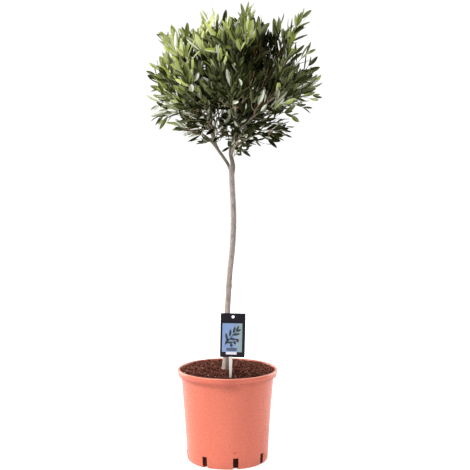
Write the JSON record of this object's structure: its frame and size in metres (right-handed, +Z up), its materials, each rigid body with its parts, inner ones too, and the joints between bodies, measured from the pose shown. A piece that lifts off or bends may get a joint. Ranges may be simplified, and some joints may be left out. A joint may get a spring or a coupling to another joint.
{
  "type": "potted olive tree",
  "caption": "Young olive tree with a bare stem and a round leafy crown, in a round flower pot of compost with a picture label.",
  "frame": {"origin": "centre of the pot's flat underside", "axes": "+Z up, +X to the right of the picture, the label's side of the pot faces -Y"},
  "size_m": [0.3588, 0.3376, 0.9554],
  "materials": {
    "pot": "satin terracotta coloured plastic",
    "compost": "moist, crumbly",
    "trunk_bark": "smooth grey-brown young bark",
    "bough_bark": "smooth grey-green young bark",
    "foliage": "leathery leaves, green above and silvery below",
    "label": "printed plastic card on a white stem"
  },
  "bodies": {
    "root": {"bough_back": "bough_bark", "bough_back_left": "bough_bark", "bough_back_right": "bough_bark", "bough_front": "bough_bark", "bough_front_left": "bough_bark", "bough_front_right": "bough_bark", "bough_left": "bough_bark", "bough_low_back": "bough_bark", "bough_low_front": "bough_bark", "bough_low_left": "bough_bark", "bough_low_right": "bough_bark", "bough_right": "bough_bark", "bough_top": "bough_bark", "bough_top_left": "bough_bark", "bough_upper_back": "bough_bark", "bough_upper_front": "bough_bark", "bough_upper_left": "bough_bark", "bough_upper_right": "bough_bark", "compost": "compost", "foliage_back": "foliage", "foliage_back_left": "foliage", "foliage_back_right": "foliage", "foliage_front": "foliage", "foliage_front_left": "foliage", "foliage_front_right": "foliage", "foliage_left": "foliage", "foliage_low_back": "foliage", "foliage_low_front": "foliage", "foliage_low_left": "foliage", "foliage_low_right": "foliage", "foliage_right": "foliage", "foliage_top": "foliage", "foliage_top_left": "foliage", "foliage_upper_back": "foliage", "foliage_upper_front": "foliage", "foliage_upper_left": "foliage", "foliage_upper_right": "foliage", "plant_label": "label", "pot": "pot", "trunk": "trunk_bark"}
  },
  "joints": []
}
